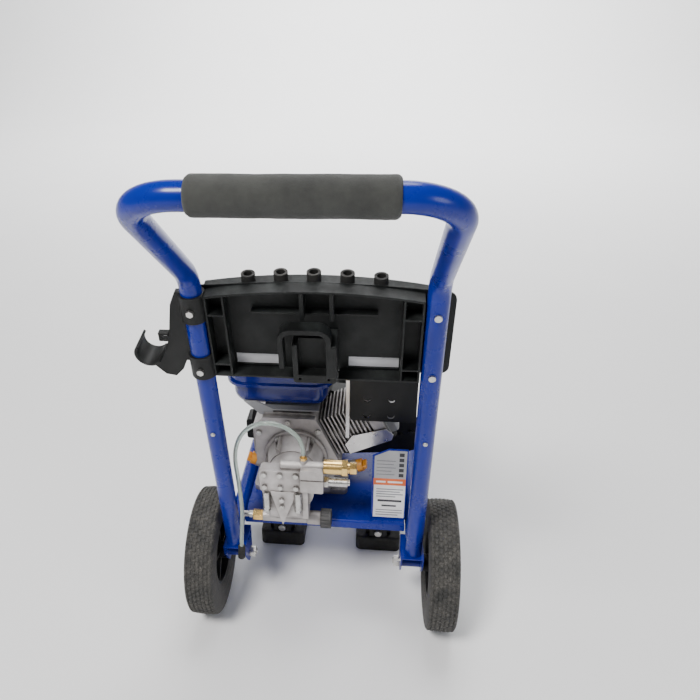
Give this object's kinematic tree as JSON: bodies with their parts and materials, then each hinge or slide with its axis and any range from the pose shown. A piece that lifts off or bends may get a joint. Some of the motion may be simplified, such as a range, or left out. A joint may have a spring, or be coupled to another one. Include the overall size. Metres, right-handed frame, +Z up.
{
  "type": "petrol pressure washer with wobble-plate pump",
  "caption": "Wheeled petrol pressure washer: tilted-cylinder engine driving a wobble-plate pump on a tube hand truck with nozzle panel, gun holder and hose hook.",
  "frame": {"origin": "on the floor, at the centre of the machine's footprint, under the axle line and midway between the wheels", "axes": "+X to the right as seen by the user standing behind the handle, +Y forward away from the user, +Z up"},
  "size_m": [0.531, 0.752, 0.992],
  "materials": {
    "blue_paint": "gloss powder coat",
    "zinc_steel": "zinc plated",
    "cast_aluminium": "as cast",
    "bright_sheet": "bright sheet",
    "grey_sheet": "satin",
    "cast_iron": "machined",
    "black_sheet": "satin",
    "tank_paint": "gloss",
    "black_plastic": "textured",
    "panel_plastic": "textured",
    "white_plastic": "gloss",
    "red_plastic": "gloss",
    "orange_plastic": "gloss",
    "foam": "soft foam",
    "rubber": "matte",
    "tyre": "matte",
    "brass": "machined",
    "ceramic": "polished",
    "clear_hose": "clear"
  },
  "bodies": {
    "machine": {"base_loop": "blue_paint", "lower_upright_right": "blue_paint", "lower_upright_left": "blue_paint", "deck_tray": "blue_paint", "handle_tube": "blue_paint", "fasteners": "zinc_steel", "panel_screws": "zinc_steel", "pump_caps": "zinc_steel", "outlet_nipple": "zinc_steel", "pump_manifold": "zinc_steel", "crankcase": "cast_aluminium", "crankcase_cover": "cast_aluminium", "cylinder_barrel": "cast_aluminium", "pump_bell": "cast_aluminium", "pump_head": "cast_aluminium", "cylinder_shroud": "bright_sheet", "muffler": "bright_sheet", "rocker_cover": "grey_sheet", "tank_bracket": "grey_sheet", "foot_legs": "black_sheet", "muffler_guard": "black_sheet", "blower_housing": "black_sheet", "recoil_cover": "black_sheet", "fuel_tank": "tank_paint", "gun_holder": "black_plastic", "air_cleaner": "black_plastic", "carburettor": "black_plastic", "control_panel": "panel_plastic", "panel_walls": "panel_plastic", "nozzle_rack": "panel_plastic", "hose_hook": "panel_plastic", "trim_strip": "white_plastic", "foam_grip": "foam", "rubber_feet": "rubber", "nozzle_grommets": "rubber", "spark_plug": "rubber", "hose_strainer": "rubber", "unloader_valve": "brass", "brass_fittings": "brass", "pump_plungers": "ceramic", "siphon_hose": "clear_hose"},
    "wheel_right": {"tyre_right": "tyre", "rim_right": "black_plastic"},
    "wheel_left": {"tyre_left": "tyre", "rim_left": "black_plastic"},
    "crank": {"crankshaft": "zinc_steel", "flywheel_fan": "cast_iron", "wobble_plate": "cast_iron"},
    "lock_button_right": {"snap_button_right": "zinc_steel"},
    "lock_button_left": {"snap_button_left": "zinc_steel"},
    "starter_grip": {"recoil_grip": "black_plastic"},
    "choke": {"choke_lever": "black_plastic"},
    "fuel_valve": {"fuel_tap": "black_plastic"},
    "throttle": {"throttle_lever": "grey_sheet"},
    "stop_switch": {"engine_switch": "red_plastic"},
    "oil_filler_left": {"oil_cap_left": "orange_plastic"},
    "oil_filler_right": {"oil_cap_right": "orange_plastic"},
    "tank_cap": {"fuel_cap": "black_plastic"},
    "pressure_adjuster": {"unloader_knob": "brass"},
    "inlet_collar": {"inlet_swivel": "panel_plastic"}
  },
  "joints": [
    {"name": "wheel_right_spin", "type": "hinge", "parent": "machine", "child": "wheel_right", "pos_m": [0.231, 0, 0.127], "axis": [1, 0, 0], "continuous": true},
    {"name": "wheel_left_spin", "type": "hinge", "parent": "machine", "child": "wheel_left", "pos_m": [-0.231, 0, 0.127], "axis": [1, 0, 0], "continuous": true},
    {"name": "crank_turn", "type": "hinge", "parent": "machine", "child": "crank", "pos_m": [-0.06, 0.131, 0.324], "axis": [0, 1, 0], "continuous": true},
    {"name": "lock_button_right_press", "type": "slide", "parent": "machine", "child": "lock_button_right", "axis": [0, 0.984, 0.1779], "range_m": [0, 0.0035], "stiffness_N_per_m": 500, "springref_m": -0.003},
    {"name": "lock_button_left_press", "type": "slide", "parent": "machine", "child": "lock_button_left", "axis": [0, 0.984, 0.1779], "range_m": [0, 0.0035], "stiffness_N_per_m": 500, "springref_m": -0.003},
    {"name": "starter_pull", "type": "slide", "parent": "machine", "child": "starter_grip", "axis": [-0.6, 0, 0.8], "range_m": [0, 0.12], "stiffness_N_per_m": 60, "springref_m": -0.02},
    {"name": "choke_swing", "type": "hinge", "parent": "machine", "child": "choke", "pos_m": [0.1392, 0.211, 0.388], "axis": [1, 0, 0], "range_deg": [-35, 0]},
    {"name": "fuel_valve_swing", "type": "hinge", "parent": "machine", "child": "fuel_valve", "pos_m": [0.135, 0.21, 0.356], "axis": [1, 0, 0], "range_deg": [-60, 0]},
    {"name": "throttle_swing", "type": "hinge", "parent": "machine", "child": "throttle", "pos_m": [0.039, 0.277, 0.39], "axis": [0, 1, 0], "range_deg": [-35, 35]},
    {"name": "stop_switch_turn", "type": "hinge", "parent": "machine", "child": "stop_switch", "pos_m": [-0.176, 0.291, 0.258], "axis": [0, 1, 0], "range_deg": [0, 60]},
    {"name": "oil_filler_left_turn", "type": "hinge", "parent": "machine", "child": "oil_filler_left", "pos_m": [-0.14598, 0.102, 0.28578], "axis": [-0.9404, 0, 0.3401], "continuous": true},
    {"name": "oil_filler_right_turn", "type": "hinge", "parent": "machine", "child": "oil_filler_right", "pos_m": [0.0617, 0.102, 0.2807], "axis": [0.9404, 0, 0.3401], "continuous": true},
    {"name": "tank_cap_turn", "type": "hinge", "parent": "machine", "child": "tank_cap", "pos_m": [-0.09, 0.1885, 0.545], "axis": [0, 0, 1], "range_deg": [0, 90]},
    {"name": "pressure_adjuster_turn", "type": "hinge", "parent": "machine", "child": "pressure_adjuster", "pos_m": [0.058, -0.035, 0.384], "axis": [1, 0, 0], "continuous": true},
    {"name": "inlet_collar_spin", "type": "hinge", "parent": "machine", "child": "inlet_collar", "pos_m": [0.005, -0.005, 0.233], "axis": [1, 0, 0], "continuous": true}
  ]
}
